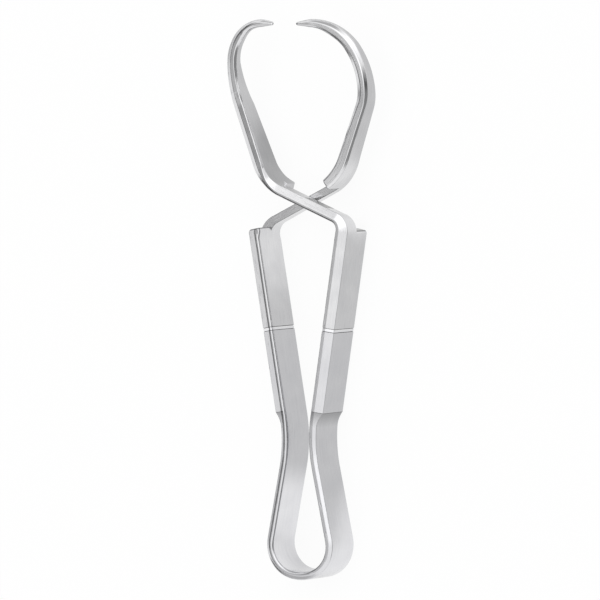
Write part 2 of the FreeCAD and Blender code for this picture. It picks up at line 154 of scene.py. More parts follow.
# Each jaw is named for the side that it lies on, across from its own grip. It has the
# radius of its hip, the wide and then the close radius of its hook, the tip's length and
# how much thicker its inside is in the hook, then thickness, low and high edge at the
# root, the end of the straight blade, the hip, the middle of the hook and the crown.
# Bevels are shares of the thickness: the free one carries on from the grip's inside, the
# grip one from its outside, and the last row is how deep the grip one goes.
HOOK_TURN = 35.0
JAWS = {
    "left": {"hip": 20.0, "hook": (6.8, 5.6), "tip": 2.1, "claw": -0.15,
             "thick": (1.85, 1.9, 1.8, 1.7, 1.2), "low": (1.9, 2.9, 4.9, 5.3, 5.9),
             "high": (6.9, 6.7, 6.8, 6.8, 6.8), "free_bevel": (0.44, 0.44, 0.42, 0.4, 0.4),
             "grip_bevel": (0.1, 0.1, 0.2, 0.2, 0.2),
             "grip_deep": (0.36, 0.36, 0.36, 0.36, 0.36)},
    "right": {"hip": 6.5, "hook": (12.6, 8.9), "tip": 2.5, "claw": 0.22,
              "thick": (1.95, 1.85, 1.85, 2.15, 1.3), "low": (2.7, 3.2, 3.5, 4.7, 5.9),
              "high": (6.8, 6.6, 6.6, 6.7, 6.8), "free_bevel": (0.2, 0.2, 0.25, 0.35, 0.35),
              "grip_bevel": (0.12, 0.3, 0.38, 0.27, 0.3),
              "grip_deep": (0.22, 0.2, 0.2, 0.36, 0.4)},
}


def turned(heading):
    """Unit vector for a heading in degrees from +X."""
    return Vector((math.cos(math.radians(heading)), math.sin(math.radians(heading))))


class Path:
    """Flat centre line of straight runs and arcs, sampled closely enough to look smooth."""

    STEP = 0.4
    TURN_STEP = 4.0

    def __init__(self, start, heading):
        self.point = Vector(start)
        self.heading = heading
        self.length = 0.0
        self.stops = [(self.point.copy(), heading, 0.0)]

    def mark(self):
        """Keeps the present place as a stop and gives its distance."""
        self.stops.append((self.point.copy(), self.heading, self.length))
        return self.length

    def run(self, length):
        """Straight run."""
        for _ in range(max(1, round(abs(length) / self.STEP))):
            step = length / max(1, round(abs(length) / self.STEP))
            self.point = self.point + turned(self.heading) * step
            self.length += step
            self.mark()
        return self.length

    def bend(self, radius, turn):
        """Arc, to the left for a positive turn."""
        count = max(2, math.ceil(abs(turn) / self.TURN_STEP),
                    round(radius * math.radians(abs(turn)) / self.STEP))
        part = turn / count
        chord = 2 * radius * math.sin(math.radians(abs(part)) / 2)
        for _ in range(count):
            self.point = self.point + turned(self.heading + part / 2) * chord
            self.heading += part
            self.length += radius * math.radians(abs(part))
            self.mark()
        return self.length

    def at(self, distance):
        """Point and heading at a distance, between the nearest stops."""
        for (p, h, s), (q, k, e) in zip(self.stops, self.stops[1:]):
            if distance <= e or (q, k, e) == self.stops[-1]:
                share = 0.0 if e == s else (distance - s) / (e - s)
                return p.lerp(q, share), h + (k - h) * share
        return self.stops[-1][:2]


def between(marks, distance, smooth=False):
    """Value at a distance, between marks (distance, value)."""
    if distance <= marks[0][0]:
        return marks[0][1]
    for (start, low), (finish, high) in zip(marks, marks[1:]):
        if distance <= finish:
            share = (distance - start) / (finish - start)
            if smooth:
                share = share * share * (3 - 2 * share)
            return low + (high - low) * share
    return marks[-1][1]


def quarter(distance, end, radius):
    """How far a rounded end has come in, at a distance before that end."""
    into = max(0.0, distance - (end - radius))
    return radius - math.sqrt(max(0.0, radius * radius - into * into))


def rounded(before, corner, after, radius):
    """Corner of a section as a short curve."""
    first = before - corner
    last = after - corner
    start = corner + first * min(CORNER_REACH, radius / max(first.length, SHORTEST))
    finish = corner + last * min(CORNER_REACH, radius / max(last.length, SHORTEST))
    points = []
    for index in range(CORNER_STEPS):
        share = index / (CORNER_STEPS - 1)
        points.append(
            start * (1 - share) ** 2 + corner * 2 * share * (1 - share) + finish * share ** 2
        )
    return points


class Section:
    """Section of a bar across its path: inner and outer face, lower and upper edge."""

    def __init__(self, inner, outer, low, high, inner_cut, outer_cut, radius=EDGE_ROUND):
        self.inner, self.outer, self.low, self.high = inner, outer, low, high
        self.inner_cut, self.outer_cut, self.radius = inner_cut, outer_cut, radius

    def shrunk(self, by):
        """The same section, smaller by the same amount all round."""
        return Section(self.inner + by, self.outer - by, self.low + by, self.high - by,
                       self.inner_cut, self.outer_cut, self.radius)

    def edge(self, upper, cut):
        """Rounded corners of the lower or upper edge, from the inner to the outer face."""
        level = self.high if upper else self.low
        inward = -1 if upper else 1
        across_in, deep_in = self.inner_cut
        across_out, deep_out = self.outer_cut
        line = [
            Vector((self.inner, cut)),
            Vector((self.inner, level + inward * deep_in)),
            Vector((self.inner + across_in, level)),
            Vector((self.outer - across_out, level)),
            Vector((self.outer, level + inward * deep_out)),
            Vector((self.outer, cut)),
        ]
        points = []
        for before, corner, after in zip(line, line[1:], line[2:]):
            points += rounded(before, corner, after, self.radius)
        return points

    def whole(self, cut):
        """Full ring, with a point on each face at the level where the halves part."""
        deep = max(self.inner_cut[1], self.outer_cut[1]) + LEVEL_MARGIN
        cut = max(self.low + deep, min(self.high - deep, cut))
        lower = self.edge(False, cut)
        upper = self.edge(True, cut)
        return ([Vector((self.inner, cut))] + lower + [Vector((self.outer, cut))]
                + upper[::-1])

    def half(self, upper, cut, radius, relief=0.0):
        """Ring of one half, whose cut face has its own small rounding."""
        start = Vector((self.inner, cut))
        finish = Vector((self.outer - relief, cut))
        side = self.edge(upper, cut)
        first = rounded(finish, start, side[0], radius)
        last = rounded(side[-1], finish, start, radius)
        return first + side + last


def placed(path, distance, ring, side):
    """Ring of a section set across the path, as points in space."""
    point, heading = path.at(distance)
    right = Vector((turned(heading).y, -turned(heading).x))
    points = []
    for corner in ring:
        flat = point + right * corner.x
        points.append(Vector((side * flat.x, flat.y, corner.y)) * METRE)
    return points


GRAIN_MAP = "along_strip"
PAINTED_LIGHT_ATTRIBUTE = "finish"
# Points of a whole ring that lie on the strip's outer face and its two bevels.
OUTER_POINTS = range(2 * CORNER_STEPS + 1, 6 * CORNER_STEPS + 2)
# Points of a half ring at the two edges of its cut face, then with its outer side; the necks
# get painted shade there.
CUT_EDGES = [*range(CORNER_STEPS - 1), *range(5 * CORNER_STEPS, 6 * CORNER_STEPS - 1)]
CUT_SIDE = [5 * CORNER_STEPS - 1, *CUT_EDGES]


def skin(mesh, rings, close_start=False, close_end=False, painted_light_rows=(), end_painted_light=1.0,
         marked=OUTER_POINTS):
    """Quads between rings of the same number of points, with flat ends where asked.

    Their map runs along the strip in u and round it in v, both in metres. Each row of
    faces can have a level of painted light (painted shade below 1, a painted highlight
    above 1) for its marked points, which are the outer side of a whole ring unless others
    are given, and one for the rest; flat ends get one level of their own.
    """
    grain = mesh.loops.layers.uv.get(GRAIN_MAP) or mesh.loops.layers.uv.new(GRAIN_MAP)
    # The face layer named finish holds painted light: each face's painted shade or painted
    # highlight, as a factor on the steel's colour.
    finish = mesh.faces.layers.float.get(PAINTED_LIGHT_ATTRIBUTE) or mesh.faces.layers.float.new(PAINTED_LIGHT_ATTRIBUTE)
    painted_light_rows = painted_light_rows or [(1.0, 1.0)] * (len(rings) - 1)
    layers = [[mesh.verts.new(point) for point in ring] for ring in rings]
    around = [0.0]
    for point, after in zip(rings[0], rings[0][1:] + rings[0][:1]):
        around.append(around[-1] + (after - point).length)
    along = 0.0
    for low, high, (special, rest) in zip(layers, layers[1:], painted_light_rows):
        middle = sum((v.co for v in low), Vector()) / len(low)
        further = along + (sum((v.co for v in high), Vector()) / len(high) - middle).length
        for index in range(len(low)):
            after = (index + 1) % len(low)
            face = mesh.faces.new((low[index], low[after], high[after], high[index]))
            face[finish] = special if index in marked else rest
            corners = ((along, around[index]), (along, around[index + 1]),
                       (further, around[index + 1]), (further, around[index]))
            for loop, corner in zip(face.loops, corners):
                loop[grain].uv = corner
        along = further
    ends = []
    if close_start:
        ends.append(layers[0][::-1])
    if close_end:
        ends.append(layers[-1])
    for end in ends:
        face = mesh.faces.new(end)
        face[finish] = end_painted_light
        for loop in face.loops:
            loop[grain].uv = (loop.vert.co.x, loop.vert.co.z)


def finished(name, mesh):
    """Closed, clean object from the drawn faces.

    An edge is sharp where it turns a lot, or where a flat ends at a narrow rounding, so
    that every flat mirrors its surroundings as a flat.
    """
    bmesh.ops.remove_doubles(mesh, verts=mesh.verts, dist=MERGE)
    bmesh.ops.dissolve_degenerate(mesh, edges=mesh.edges, dist=MERGE)
    bmesh.ops.recalc_face_normals(mesh, faces=mesh.faces)
    for face in mesh.faces:
        face.smooth = True
    for edge in mesh.edges:
        turn = edge.calc_face_angle(0.0)
        small, large = sorted(face.calc_area() for face in edge.link_faces)
        edge.smooth = turn < SHARP_ANGLE and (turn < SLIGHT_ANGLE or large < FLAT_RATIO * small)
    data = bpy.data.meshes.new(name)
    mesh.to_mesh(data)
    mesh.free()
    piece = bpy.data.objects.new(name, data)
    bpy.context.scene.collection.objects.link(piece)
    return piece


# Grips: the inner faces of both are straight lines that meet on the Y axis.
WAIST_Y = WAIST_HEIGHT - LENGTH / 2
BOW_END_TURN = 90 + LEG_LEAN


def spring_path():
    """Inner face of the spring on the right, from the bottom of the bow to the shoulder."""
    path = Path((0.0, BAND - LENGTH / 2), 0.0)
    path.bend(BOW_BOTTOM_RADIUS - BAND, BOW_BOTTOM_TURN)
    path.bend(BOW_SIDE_RADIUS - BAND, BOW_END_TURN - BOW_BOTTOM_TURN)
    bow_end = path.length
    # The straight leg ends where the waist's arc, with its narrowest place at
    # WAIST_HEIGHT, has the same slope.
    bend_start = WAIST_Y - WAIST_RADIUS * math.sin(math.radians(LEG_LEAN))
    path.run((bend_start - path.point.y) / math.sin(math.radians(BOW_END_TURN)))
    path.bend(WAIST_RADIUS, -(LEG_LEAN + GRIP_LEAN))
    straight = path.length
    reach = SHOULDER_HEIGHT - LENGTH / 2 - path.point.y
    path.run(reach / math.cos(math.radians(GRIP_LEAN)))
    return path, bow_end, straight


SPRING, BOW_END, GRIP_START = spring_path()


def distance_at(height):
    """Distance along the grip's inner face to a height above the bottom of the bow."""
    start = SPRING.at(GRIP_START)[0].y
    return GRIP_START + (height - LENGTH / 2 - start) / math.cos(math.radians(GRIP_LEAN))


RIDGE = distance_at(RIDGE_HEIGHT)
GROOVE = distance_at(GROOVE_HEIGHT)


CLIMB = GRIP_THICK - BAND
RAMP = math.sqrt(2 * RAMP_RADIUS * CLIMB - CLIMB * CLIMB)


def spring_thickness(distance):
    """Band, then the concave ramp of the step, then the full grip."""
    into = distance - (RIDGE - RAMP)
    if into <= 0:
        return BAND
    if into >= RAMP:
        return GRIP_THICK
    return BAND + RAMP_RADIUS - math.sqrt(RAMP_RADIUS ** 2 - into ** 2)


def groove_depth(distance):
    """Ring groove: a shallow band between two finer and deeper cuts; the band carries a painted
    highlight and the cuts painted shade.
    """
    away = abs(distance - GROOVE)
    edge = GROOVE_WIDTH / 2
    return between([(edge - GROOVE_CUT, GROOVE_BAND_DEEP), (edge - GROOVE_CUT / 2, GROOVE_DEEP),
                    (edge, 0.0)], away)


def groove_steps():
    """Distances from the middle of the groove to its edge."""
    edge = GROOVE_WIDTH / 2
    return (spaced(0.0, edge - GROOVE_CUT, GROOVE_ROW)
            + spaced(edge - GROOVE_CUT + CUT_ROW, edge, CUT_ROW))


def painted_light_along(distances):
    """How much brightness each row of faces keeps, on the strip's outer side and elsewhere.

    The groove's cuts get painted shade and the band between them a painted highlight;
    the scoop of the step gets painted shade, darkest up at its ridge.
    """
    rows = []
    for start, finish in zip(distances, distances[1:]):
        middle = (start + finish) / 2
        away = abs(middle - GROOVE)
        into = (RIDGE - middle) / RAMP
        outer = rest = 1.0
        # Painted shade in the groove's cuts, a painted highlight on the band between them.
        if away < GROOVE_WIDTH / 2:
            outer = rest = BAND_PAINTED_HIGHLIGHT if away < GROOVE_WIDTH / 2 - GROOVE_CUT else CUT_PAINTED_SHADE
        # Painted shade in the scoop of the step, darkest at its ridge.
        elif 0 <= into <= 1:
            outer = between(SCOOP_PAINTED_SHADE, into)
        rows.append((outer, rest))
    return rows


def strip_section(distance, side):
    """Section of the bar, cut down from the full grip to the spring's thickness."""
    thick = spring_thickness(distance)
    bevel = thick - EDGE_FLAT
    deep = LONG_BEVEL_DEEP * bevel / (GRIP_THICK - EDGE_FLAT)
    # Both halves share the left one's edges where they meet at the bottom of the bow.
    edge, corner = (between([(0.0, values[-1]), (BOW_END, values[side])], distance)
                    for values in (INNER_BREAKS, EDGE_ROUNDS))
    return Section(0.0, thick, 0.0, WIDTH, (edge, edge), (bevel, deep), corner)


MIDDLE = WIDTH / 2


def spaced(start, finish, step):
    """Distances from start to finish, both included."""
    count = max(1, round((finish - start) / step))
    return [start + (finish - start) * index / count for index in range(count + 1)]


def spring_rings(distances, side):
    """Rings of the strip at the distances, with the ring groove."""
    rings = []
    for distance in distances:
        section = strip_section(distance, side).shrunk(groove_depth(distance))
        rings.append(placed(SPRING, distance, section.whole(MIDDLE), side))
    return rings


WAIST = min(SPRING.stops, key=lambda stop: abs(stop[0].y - WAIST_Y))[2]


def make_bow(name, side):
    """Half of the bow, from its bottom to the waist."""
    mesh = bmesh.new()
    skin(mesh, spring_rings(spaced(0.0, WAIST, BEND_ROW), side), True, True)
    return finished(name, mesh)


def make_heel(name, side):
    """Thick end of the spring, from the waist over the step to the ring groove."""
    mesh = bmesh.new()
    distances = spaced(WAIST, RIDGE - RIDGE_ROWS[0], STEP_ROW)
    distances += [RIDGE - before for before in RIDGE_ROWS[1:]]
    distances += spaced(RIDGE + CUT_ROW, GROOVE - GROOVE_WIDTH / 2 - CUT_ROW, STRAIGHT_ROW)
    distances += [GROOVE - step for step in groove_steps()[::-1]]
    skin(mesh, spring_rings(distances, side), True, True, painted_light_along(distances))
    return finished(name, mesh)


def crossing(point, heading, other, other_heading):
    """Where two lines meet in the plan."""
    first = turned(heading)
    second = turned(other_heading)
    offset = other - point
    return point + first * ((offset.x * second.y - offset.y * second.x)
                            / (first.x * second.y - first.y * second.x))


def arm_path(arm, jaw):
    """Centre line of an arm whose grip is on the right, and the places along it."""
    start_distance = distance_at(arm["shoulder"]) - arm["rise"]
    start, heading = SPRING.at(GROOVE)
    right = Vector((turned(heading).y, -turned(heading).x))
    path = Path(start + right * (GRIP_THICK / 2), heading)
    places = {"neck": path.run(start_distance - GROOVE)}
    places["shoulder"] = places["neck"] + arm["rise"]
    neck_heading = 180 - arm["neck"]
    places["bend"] = path.bend(arm["bend"], neck_heading - heading)
    lean = math.radians(JAW_LEAN)
    wide, close = jaw["hook"]
    rise = math.sin(math.radians(HOOK_TURN))
    crown_y = LENGTH / 2 - jaw["thick"][4] / 2
    hip = Vector((
        -JAW_HALF + jaw["hip"] * (1 - math.cos(lean)),
        crown_y - wide * rise - close * (1 - rise) - jaw["hip"] * math.sin(lean),
    ))
    jaw_heading = 90 + JAW_LEAN
    corner = crossing(path.point, neck_heading, hip, jaw_heading)
    turn = jaw_heading - neck_heading
    tangent = arm["root"] * math.tan(math.radians(abs(turn)) / 2)
    places["run"] = path.run((corner - path.point).length - tangent)
    places["root"] = path.bend(arm["root"], turn)
    places["split"] = places["root"] - arm["lobe"] + arm["lobe_round"]
    places["blade"] = path.run((hip - path.point).length)
    places["hip"] = path.bend(jaw["hip"], -JAW_LEAN)
    places["hook"] = path.bend(wide, -HOOK_TURN)
    places["crown"] = path.bend(close, HOOK_TURN - 90)
    places["tip"] = path.bend(jaw["tip"] / math.radians(TIP_TURN), -TIP_TURN)
    return path, places


def arm_section(arm, jaw, places):
    """Function that gives an arm's section at a distance along its path."""
    neck, bend, run, root = (places[key] for key in ("neck", "bend", "run", "root"))
    blade, hip, hook, crown, tip = (
        places[key] for key in ("blade", "hip", "hook", "crown", "tip"))
    jaw_places = (root, blade, hip, hook, crown)
    tip_high = jaw["high"][4] - TIP_DROP
    thick_marks = [(neck, GRIP_THICK), (bend, NECK_THICK), (run, NECK_THICK),
                   ((run + root) / 2, arm["root_thick"])]
    thick_marks += list(zip(jaw_places, jaw["thick"])) + [(tip, TIP_THICK)]
    low_marks = [(neck, 0.0), (bend, arm["neck_low"][0]), (run, arm["neck_low"][1])]
    low_marks += list(zip(jaw_places, jaw["low"])) + [(tip, tip_high - TIP_DEEP)]
    high_marks = [(run, WIDTH)] + list(zip(jaw_places, jaw["high"])) + [(tip, tip_high)]
    free_marks = list(zip(jaw_places, jaw["free_bevel"]))
    grip_marks = list(zip(jaw_places, jaw["grip_bevel"]))
    # The grip's outer face becomes the neck's upper side and then the jaw's inside.
    grip_side = [(neck, GRIP_THICK - EDGE_FLAT), (bend, arm["neck_bevel"]),
                 (run, arm["neck_bevel"]), (root, jaw["grip_bevel"][0] * jaw["thick"][0])]
    edge = INNER_BREAKS[arm["side"]]
    free_side = [(neck, edge), (bend, NECK_FREE_BEVEL), (run, NECK_FREE_BEVEL),
                 (root, jaw["free_bevel"][0] * jaw["thick"][0])]
    corner = [(neck, EDGE_ROUNDS[arm["side"]]), (run, EDGE_ROUND)]
    claw = [(hook, 0.0), ((hook + crown) / 2, jaw["claw"]), (crown, 0.0)]
    grip_side_deep = [(neck, LONG_BEVEL_DEEP), (root, jaw["grip_deep"][0])]
    jaw_deep = list(zip(jaw_places, jaw["grip_deep"]))
    free_side_deep = [(neck, edge), (bend, NECK_FREE_BEVEL / 2), (run, NECK_FREE_BEVEL / 2),
                      (root, JAW_BEVEL_DEEP)]

    def section(distance):
        thick = between(thick_marks, distance)
        low = between(low_marks, distance)
        high = between(high_marks, distance)
        if distance <= root:
            return Section(
                -thick / 2, thick / 2, low, high,
                (between(free_side, distance), between(free_side_deep, distance)),
                (between(grip_side, distance, smooth=True),
                 between(grip_side_deep, distance)),
                between(corner, distance))
        deepest = BEVEL_SHARE * (high - low)
        radius = EDGE_ROUND * between([(hip, HIP_SOFTER), (tip, TIP_SOFTER)], distance)
        inside = thick / 2 + between(claw, distance, smooth=True)
        return Section(-thick / 2, inside, low, high,
                       (between(free_marks, distance) * thick, min(JAW_BEVEL_DEEP, deepest)),
                       (between(grip_marks, distance) * thick,
                        min(between(jaw_deep, distance), deepest)), radius)

    return section


def add_grip(mesh, path, places, section, cut, side):
    """Front part of a grip, from the bottom of the ring groove."""
    distances = groove_steps()
    distances += spaced(GROOVE_WIDTH / 2 + CUT_ROW, places["neck"], STRAIGHT_ROW)
    rings = [placed(path, d, section(d).shrunk(groove_depth(GROOVE + d)).whole(cut), side)
             for d in distances]
    skin(mesh, rings, close_start=True,
         painted_light_rows=painted_light_along([GROOVE + d for d in distances]))


def add_shoulder(mesh, path, places, section, cut, side, arm):
    """Half of the grip's width that stops in the shoulder, with a rounded outer corner.

    Its inner face follows the neck's bend for part of the way up.
    """
    inside = arm["bend"] - NECK_THICK / 2
    neck = places["neck"]
    top = places["shoulder"]
    straight = Path(path.stops[0][0], path.stops[0][1])
    straight.run(top)
    turns = [top - SHOULDER_ROUND * (1 - math.sin(math.radians(angle)))
             for angle in END_ANGLES]
    steps = spaced(neck, top - SHOULDER_ROUND, BEND_ROW)
    if top - neck < SHOULDER_ROUND:
        steps = [neck]
    grip = section(neck)
    rings = []
    distances = sorted(d for d in set(steps + turns) if d >= neck)
    for distance in distances:
        lost = quarter(distance, top, SHOULDER_ROUND) - quarter(neck, top, SHOULDER_ROUND)
        ease = quarter(distance, top, END_ROUND)
        into = min(distance - neck, FOLLOW * arm["rise"])
        follow = inside - math.sqrt(inside ** 2 - into ** 2)
        bar = Section(grip.inner + ease - follow, grip.outer - lost, grip.low + ease,
                      grip.high - ease, grip.inner_cut, grip.outer_cut, grip.radius)
        radius = between([(neck, 0.0), (neck + BLEND, EDGE_ROUND)], distance)
        ring = bar.half(side < 0, cut - side * ease, radius)
        rings.append(placed(straight, distance, ring, side))
    # The shoulder's end face and its rounding get painted shade.
    painted_light_rows = [(END_PAINTED_SHADE if d > top - END_ROUND else 1.0,) * 2 for d in distances[1:]]
    skin(mesh, rings, close_end=True, painted_light_rows=painted_light_rows, end_painted_light=END_PAINTED_SHADE)


def add_neck(mesh, path, places, section, cut, side, arm):
    """Other half of the width, bent over and running on into the jaw."""
    neck, bend, split = places["neck"], places["bend"], places["split"]
    inside = [stop[2] for stop in path.stops
              if neck + BLEND_FREE < stop[2] < split - BLEND_FREE]
    radius_marks = [(neck, 0.0), (neck + BLEND, EDGE_ROUND), (split - BLEND, EDGE_ROUND),
                    (split, 0.0)]
    relief_marks = [(neck, 0.0), (bend, NECK_RELIEF), (split - RELIEF_FADE, NECK_RELIEF),
                    (split, 0.0)]
    distances = [neck, neck + BLEND] + inside + [split - BLEND, split]
    rings = []
    for distance in distances:
        ring = section(distance).half(
            side > 0, cut, between(radius_marks, distance), between(relief_marks, distance))
        rings.append(placed(path, distance, ring, side))
    # The near neck's side gets painted shade where it passes close over the other neck,
    # and the far neck's cut face gets some painted shade at its edges.
    if arm["painted_shade_side"]:
        first, last = arm["painted_shade_side"]
        marked = CUT_SIDE
        painted_light_rows = [(NECK_SIDE_PAINTED_SHADE if first < path.at(d)[0].x < last else 1.0, 1.0)
                    for d in distances[1:]]
    else:
        marked = CUT_EDGES
        painted_light_rows = [(NECK_EDGE_PAINTED_SHADE if d > places["shoulder"] else 1.0, 1.0)
                    for d in distances[:-1]]
    skin(mesh, rings, painted_light_rows=painted_light_rows, marked=marked)


def add_jaw(mesh, path, places, section, cut, side):
    """Full-width jaw from its root to the rounded point."""
    split, tip = places["split"], places["tip"]
    inside = [stop[2] for stop in path.stops
              if split + NEAREST_ROW < stop[2] < tip - TIP_ROUND]
    rounds = [tip - TIP_ROUND * (1 - math.sin(math.radians(angle))) for angle in TIP_ANGLES]
    rings = []
    for distance in [split] + inside + rounds:
        bar = section(distance).shrunk(quarter(distance, tip, TIP_ROUND))
        rings.append(placed(path, distance, bar.whole(cut), side))
    skin(mesh, rings, close_end=True)


def add_lobe(mesh, path, places, section, cut, side, length):
    """Blunt end of the jaw's free half, which follows the bend of its root."""
    rings = []
    for angle in END_ANGLES:
        back = length * math.sin(math.radians(angle))
        distance = places["split"] - back
        lost = length - math.sqrt(max(0.0, length ** 2 - back ** 2))
        ease = quarter(back, length, END_ROUND)
        base = section(distance)
        low = base.low + (lost if side > 0 else ease)
        high = base.high - (ease if side > 0 else lost)
        lobe = Section(base.inner + ease, base.outer - ease, low, high,
                       base.inner_cut, base.outer_cut, base.radius)
        radius = between([(0.0, 0.0), (BLEND, EDGE_ROUND)], back)
        rings.append(placed(path, distance, lobe.half(side < 0, cut, radius), side))
    skin(mesh, rings, close_end=True)


def make_arm(name, arm_name, jaw_name):
    """Forged front part in one closed mesh: half a grip, neck, jaw and lobe."""
    arm = ARMS[arm_name]
    jaw = JAWS[jaw_name]
    side = arm["side"]
    path, places = arm_path(arm, jaw)
    section = arm_section(arm, jaw, places)
    cut = MIDDLE + side * CROSS_GAP / 2
    mesh = bmesh.new()
    add_grip(mesh, path, places, section, cut, side)
    add_jaw(mesh, path, places, section, cut, side)
    add_neck(mesh, path, places, section, cut, side, arm)
    add_shoulder(mesh, path, places, section, cut, side, arm)
    add_lobe(mesh, path, places, section, cut, side, arm["lobe_round"])
    return finished(name, mesh)


# Materials.
def linear(colour):
    """sRGB hex colour as linear values."""
    values = [int(colour[index:index + 2], 16) / 255 for index in (1, 3, 5)]
    return [v / 12.92 if v <= 0.04045 else ((v + 0.055) / 1.055) ** 2.4 for v in values] + [1.0]


def node(tree, kind, links=None, **settings):
    """Adds a node, sets it and links its inputs."""
    added = tree.nodes.new(kind)
    for name, value in settings.items():
        setattr(added, name, value)
    for name, value in (links or {}).items():
        if isinstance(value, bpy.types.NodeSocket):
            tree.links.new(value, added.inputs[name])
        else:
            added.inputs[name].default_value = value
    return added


def new_material(name):
    """Empty material and its node tree."""
    material = bpy.data.materials.new(name)
    material.use_nodes = True
    material.node_tree.nodes.clear()
    return material, material.node_tree


def satin_steel(name, colour, worn_colour, roughness, line_length, line_width):
    """Stainless steel, belt ground along the strip and then satin finished.

    The eye gets long fine lines that follow every bend, a soft cloudiness where the
    finish is a little more or less matt, and a few short handling scratches. The real
    lines are 0.03 mm apart; here they are as wide as one point of the picture. A face's
    level of painted light multiplies its colour: painted shade below 1, a painted highlight
    above 1.
    """
    material, tree = new_material(name)
    along = node(tree, "ShaderNodeUVMap", uv_map=GRAIN_MAP).outputs[0]
    spread = node(tree, "ShaderNodeMapping", {
        "Vector": along, "Scale": (1 / (line_length * METRE), 1 / (line_width * METRE), 1.0)})
    lines = node(tree, "ShaderNodeTexNoise", {
        "Vector": spread.outputs[0], "Scale": 1.0, "Detail": 3.0, "Roughness": 0.6},
        noise_dimensions="2D").outputs["Fac"]
    place = node(tree, "ShaderNodeTexCoord").outputs["Object"]
    clouds = node(tree, "ShaderNodeTexNoise", {
        "Vector": place, "Scale": 1 / (CLOUD_SIZE * METRE), "Detail": 2.0}).outputs["Fac"]
    mixed = node(tree, "ShaderNodeMath", {0: lines, 1: clouds}, operation="ADD").outputs[0]
    tone = node(tree, "ShaderNodeMapRange", {
        "Value": mixed, "From Min": TONE_FROM, "From Max": TONE_TO}).outputs[0]
    tint = node(tree, "ShaderNodeMix", {
        0: tone, 6: linear(worn_colour), 7: linear(colour)}, data_type="RGBA")
    gloss = node(tree, "ShaderNodeMapRange", {
        "Value": mixed, "From Min": TONE_FROM, "From Max": TONE_TO,
        "To Min": roughness * SMOOTHEST, "To Max": roughness * ROUGHEST}).outputs[0]
    scratch_place = node(tree, "ShaderNodeMapping", {
        "Vector": along, "Rotation": (0, 0, SCRATCH_ANGLE),
        "Scale": (1 / (SCRATCH_LENGTH * METRE), 1 / (SCRATCH_WIDTH * METRE), 1.0)})
    scratch_noise = node(tree, "ShaderNodeTexNoise", {
        "Vector": scratch_place.outputs[0], "Scale": 1.0, "Detail": 0.0},
        noise_dimensions="2D").outputs["Fac"]
    scratches = node(tree, "ShaderNodeMapRange", {
        "Value": scratch_noise, "From Min": SCRATCH_FROM, "From Max": SCRATCH_TO}).outputs[0]
    relief = node(tree, "ShaderNodeMath", {
        0: scratches, 1: -SCRATCH_DEEP, 2: lines}, operation="MULTIPLY_ADD").outputs[0]
    bump = node(tree, "ShaderNodeBump", {
        "Strength": LINE_STRENGTH, "Distance": LINE_DEEP * METRE, "Height": relief}).outputs[0]
    # Painted light: the face layer multiplies the colour, darker for painted shade and brighter
    # for a painted highlight.
    painted_light_level = node(tree, "ShaderNodeAttribute", attribute_name=PAINTED_LIGHT_ATTRIBUTE).outputs["Vector"]
    finish = node(tree, "ShaderNodeMix", {
        0: 1.0, 6: tint.outputs[2], 7: painted_light_level}, data_type="RGBA", blend_type="MULTIPLY")
    steel = node(tree, "ShaderNodeBsdfPrincipled", {
        "Base Color": finish.outputs[2], "Metallic": 1.0, "Roughness": gloss, "Normal": bump})
    node(tree, "ShaderNodeOutputMaterial", {"Surface": steel.outputs[0]})
    return material


# Sizes of the finish, in millimetres.
CLOUD_SIZE = 3.5
SCRATCH_LENGTH = 2.2
SCRATCH_WIDTH = 0.12
SCRATCH_ANGLE = math.radians(24)
LINE_DEEP = 0.012
# Its levels: where the mix of lines and clouds turns from worn to clean, the least and
# most rough it makes the steel, where the noise is a scratch, and how strong both are.
TONE_FROM = 0.7
TONE_TO = 1.3
SMOOTHEST = 0.8
ROUGHEST = 1.3
SCRATCH_FROM = 0.74
SCRATCH_TO = 0.82
SCRATCH_DEEP = 1.5
LINE_STRENGTH = 0.25
# Cold-rolled strip has long even lines; the forged arms were ground on a short belt.
spring_steel = satin_steel("belt_ground_spring_steel", "#E2E2E4", "#D8D8DB", 0.12, 9.0, 0.14)
forged_steel = satin_steel("belt_ground_forged_steel", "#E6E6E7", "#D9D9DB", 0.11, 3.0, 0.16)


def dress(piece, material, slot, body, *nodes):
    """Gives a piece its material, its body if it rides one, and its CAD nodes; the slot is not
    used.
    """
    piece.data.materials.append(material)
    if body:
        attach(piece, body)
    if nodes:
        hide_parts(*nodes)


# On the real clamp the bow flexes from just above its bottom up to the waist; here each half is
# one mesh on no body, and each heel rides its lever.
for side_name, side in (("left", -1), ("right", 1)):
    bow = make_bow(f"{side_name}_bow_half", side)
    dress(bow, spring_steel, "spring_steel", None, "spring_bow")
    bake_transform(bow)
    heel = make_heel(f"{side_name}_spring_heel", side)
    dress(heel, spring_steel, "spring_steel", f"{side_name}_lever", f"{side_name}_heel")
left_arm = make_arm("left_forged_arm", "left", "right")
dress(left_arm, forged_steel, "forged_steel", "left_lever", "left_arm")
right_arm = make_arm("right_forged_arm", "right", "left")
dress(right_arm, forged_steel, "forged_steel", "right_lever", "right_arm")

# Floor: the clamp lies on its side on a white sheet, which the camera sees as white but
# for a trace of shadow. The steel sees a grey card with lighter and darker cards on it.
# Each card: centre in X and Y, radius to the edge of its middle and of its rim, level.
FLOOR_PATCHES = [
    ((0.0, -5.0), 45.0, 80.0, 0.70),
    ((-6.0, -47.0), 14.5, 21.5, 1.45),
    ((-3.0, -45.0), 2.5, 8.0, 0.82),
    ((-3.0, 12.0), 4.0, 14.0, 1.28),
    ((-9.0, 22.0), 4.0, 12.0, 0.68),
    ((12.0, 15.0), 2.0, 8.0, 1.35),
    ((-26.0, 46.0), 4.0, 14.0, 0.3),
]
